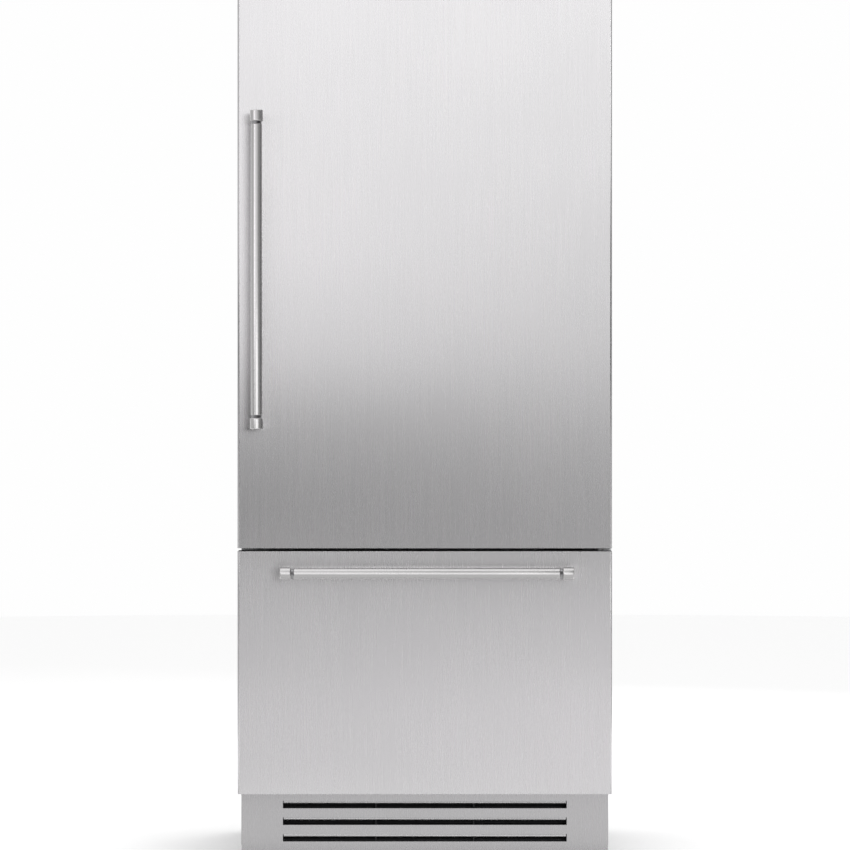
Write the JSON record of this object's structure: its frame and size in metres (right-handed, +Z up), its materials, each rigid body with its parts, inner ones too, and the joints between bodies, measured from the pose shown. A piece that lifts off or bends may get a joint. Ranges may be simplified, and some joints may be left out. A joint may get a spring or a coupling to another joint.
{
  "type": "refrigerator",
  "caption": "Stainless bottom-freezer refrigerator: hinged upper door, pull-out freezer drawer on telescopic slides, bar handles and a slotted toe grille.",
  "frame": {"origin": "on the floor, midway across the refrigerator and midway between the handles' front and the back", "axes": "+Z up, the door and drawer face -Y, +X to the right seen from the front"},
  "size_m": [0.748, 0.67, 2.042],
  "materials": {
    "panel_steel": "satin",
    "handle_steel": "satin",
    "grille_steel": "satin",
    "cabinet_paint": "matte",
    "galvanised": "satin",
    "hinge_steel": "satin",
    "screw_steel": "gloss",
    "liner_white": "gloss",
    "foam_cream": "matte",
    "seal_grey": "matte",
    "trim_grey": "matte",
    "clear_bin": "gloss",
    "shelf_glass": "gloss",
    "light_lens": "satin",
    "button_white": "satin",
    "fin_aluminium": "satin",
    "compressor_black": "satin",
    "black_plastic": "matte",
    "tube_black": "satin",
    "mount_rubber": "matte",
    "foot_plastic": "matte",
    "slide_steel": "satin"
  },
  "bodies": {
    "cabinet": {"cabinet_shell": "cabinet_paint", "back_panel": "cabinet_paint", "machine_cover": "cabinet_paint", "cabinet_foam": "foam_cream", "fridge_liner": "liner_white", "freezer_liner": "liner_white", "middle_rail": "galvanised", "machine_deck": "galvanised", "base_frame": "galvanised", "toe_grille": "grille_steel", "compressor": "compressor_black", "compressor_mounts": "mount_rubber", "condenser_coil": "tube_black", "condenser_fan_frame": "black_plastic", "drip_tray": "black_plastic", "evaporator_coil": "fin_aluminium", "evaporator_cover": "liner_white", "evaporator_fan_motor": "black_plastic", "air_duct_cover": "liner_white", "shelf_frames": "trim_grey", "shelf_panes": "shelf_glass", "control_fascia": "trim_grey", "light_cover": "light_lens", "top_hinge": "hinge_steel", "middle_hinge": "hinge_steel", "hinge_screws": "screw_steel", "slide_outer_members": "slide_steel", "mains_inlet": "black_plastic"},
    "fridge_door": {"door_skin": "panel_steel", "door_foam": "foam_cream", "door_liner": "liner_white", "door_gasket": "seal_grey", "door_end_caps": "trim_grey", "door_handle_bar": "handle_steel", "door_handle_mounts": "handle_steel", "door_bins": "clear_bin"},
    "freezer_drawer": {"drawer_skin": "panel_steel", "drawer_foam": "foam_cream", "drawer_liner": "liner_white", "drawer_gasket": "seal_grey", "drawer_end_caps": "trim_grey", "drawer_handle_bar": "handle_steel", "drawer_handle_mounts": "handle_steel", "slide_inner_members": "slide_steel", "freezer_basket": "clear_bin"},
    "dairy_lid": {"dairy_lid": "clear_bin"},
    "slide_middles": {"slide_middle_members": "slide_steel"},
    "freezer_tray": {"freezer_tray": "clear_bin"},
    "crisper_left": {"crisper_left": "clear_bin"},
    "crisper_right": {"crisper_right": "clear_bin"},
    "humidity_left": {"humidity_slider_left": "trim_grey"},
    "humidity_right": {"humidity_slider_right": "trim_grey"},
    "fridge_button": {"fridge_button": "button_white"},
    "freezer_button": {"freezer_button": "button_white"},
    "condenser_fan": {"condenser_fan": "black_plastic"},
    "evaporator_fan": {"evaporator_fan": "black_plastic"},
    "foot_left": {"levelling_foot_left": "foot_plastic"},
    "foot_right": {"levelling_foot_right": "foot_plastic"},
    "roller_left": {"rear_roller_left": "foot_plastic"},
    "roller_right": {"rear_roller_right": "foot_plastic"}
  },
  "joints": [
    {"name": "door_swing", "type": "hinge", "parent": "cabinet", "child": "fridge_door", "pos_m": [0.356, -0.245, 0.631], "axis": [0, 0, 1], "range_deg": [0, 115]},
    {"name": "dairy_lid_tilt", "type": "hinge", "parent": "fridge_door", "child": "dairy_lid", "pos_m": [0, -0.12, 1.876], "axis": [1, 0, 0], "range_deg": [0, 85]},
    {"name": "drawer_slide", "type": "slide", "parent": "cabinet", "child": "freezer_drawer", "axis": [0, -1, 0], "range_m": [0, 0.4]},
    {"name": "slide_middle_travel", "type": "slide", "parent": "cabinet", "child": "slide_middles", "axis": [0, -1, 0], "range_m": [0, 0.2]},
    {"name": "tray_slide", "type": "slide", "parent": "freezer_drawer", "child": "freezer_tray", "axis": [0, 1, 0], "range_m": [0, 0.18]},
    {"name": "crisper_left_slide", "type": "slide", "parent": "cabinet", "child": "crisper_left", "axis": [0, -1, 0], "range_m": [0, 0.1]},
    {"name": "crisper_right_slide", "type": "slide", "parent": "cabinet", "child": "crisper_right", "axis": [0, -1, 0], "range_m": [0, 0.1]},
    {"name": "humidity_left_slide", "type": "slide", "parent": "crisper_left", "child": "humidity_left", "axis": [1, 0, 0], "range_m": [-0.018, 0.018]},
    {"name": "humidity_right_slide", "type": "slide", "parent": "crisper_right", "child": "humidity_right", "axis": [1, 0, 0], "range_m": [-0.018, 0.018]},
    {"name": "fridge_button_press", "type": "slide", "parent": "cabinet", "child": "fridge_button", "axis": [0, 1, 0], "range_m": [0, 0.0012], "stiffness_N_per_m": 400, "springref_m": -0.0003},
    {"name": "freezer_button_press", "type": "slide", "parent": "cabinet", "child": "freezer_button", "axis": [0, 1, 0], "range_m": [0, 0.0012], "stiffness_N_per_m": 400, "springref_m": -0.0003},
    {"name": "condenser_fan_spin", "type": "hinge", "parent": "cabinet", "child": "condenser_fan", "pos_m": [-0.05, 0.205, 0.117], "axis": [1, 0, 0], "continuous": true},
    {"name": "evaporator_fan_spin", "type": "hinge", "parent": "cabinet", "child": "evaporator_fan", "pos_m": [0.21, 0.255, 0.475], "axis": [0, 1, 0], "continuous": true},
    {"name": "foot_left_turn", "type": "hinge", "parent": "cabinet", "child": "foot_left", "pos_m": [-0.302, -0.156, 0.05], "axis": [0, 0, 1], "continuous": true},
    {"name": "foot_right_turn", "type": "hinge", "parent": "cabinet", "child": "foot_right", "pos_m": [0.302, -0.156, 0.05], "axis": [0, 0, 1], "continuous": true},
    {"name": "roller_left_turn", "type": "hinge", "parent": "cabinet", "child": "roller_left", "pos_m": [-0.315, 0.273, 0.0215], "axis": [1, 0, 0], "continuous": true},
    {"name": "roller_right_turn", "type": "hinge", "parent": "cabinet", "child": "roller_right", "pos_m": [0.315, 0.273, 0.0215], "axis": [1, 0, 0], "continuous": true}
  ],
  "couplings": [
    {"joint": "slide_middle_travel", "follows": "drawer_slide", "ratio": 0.5}
  ]
}
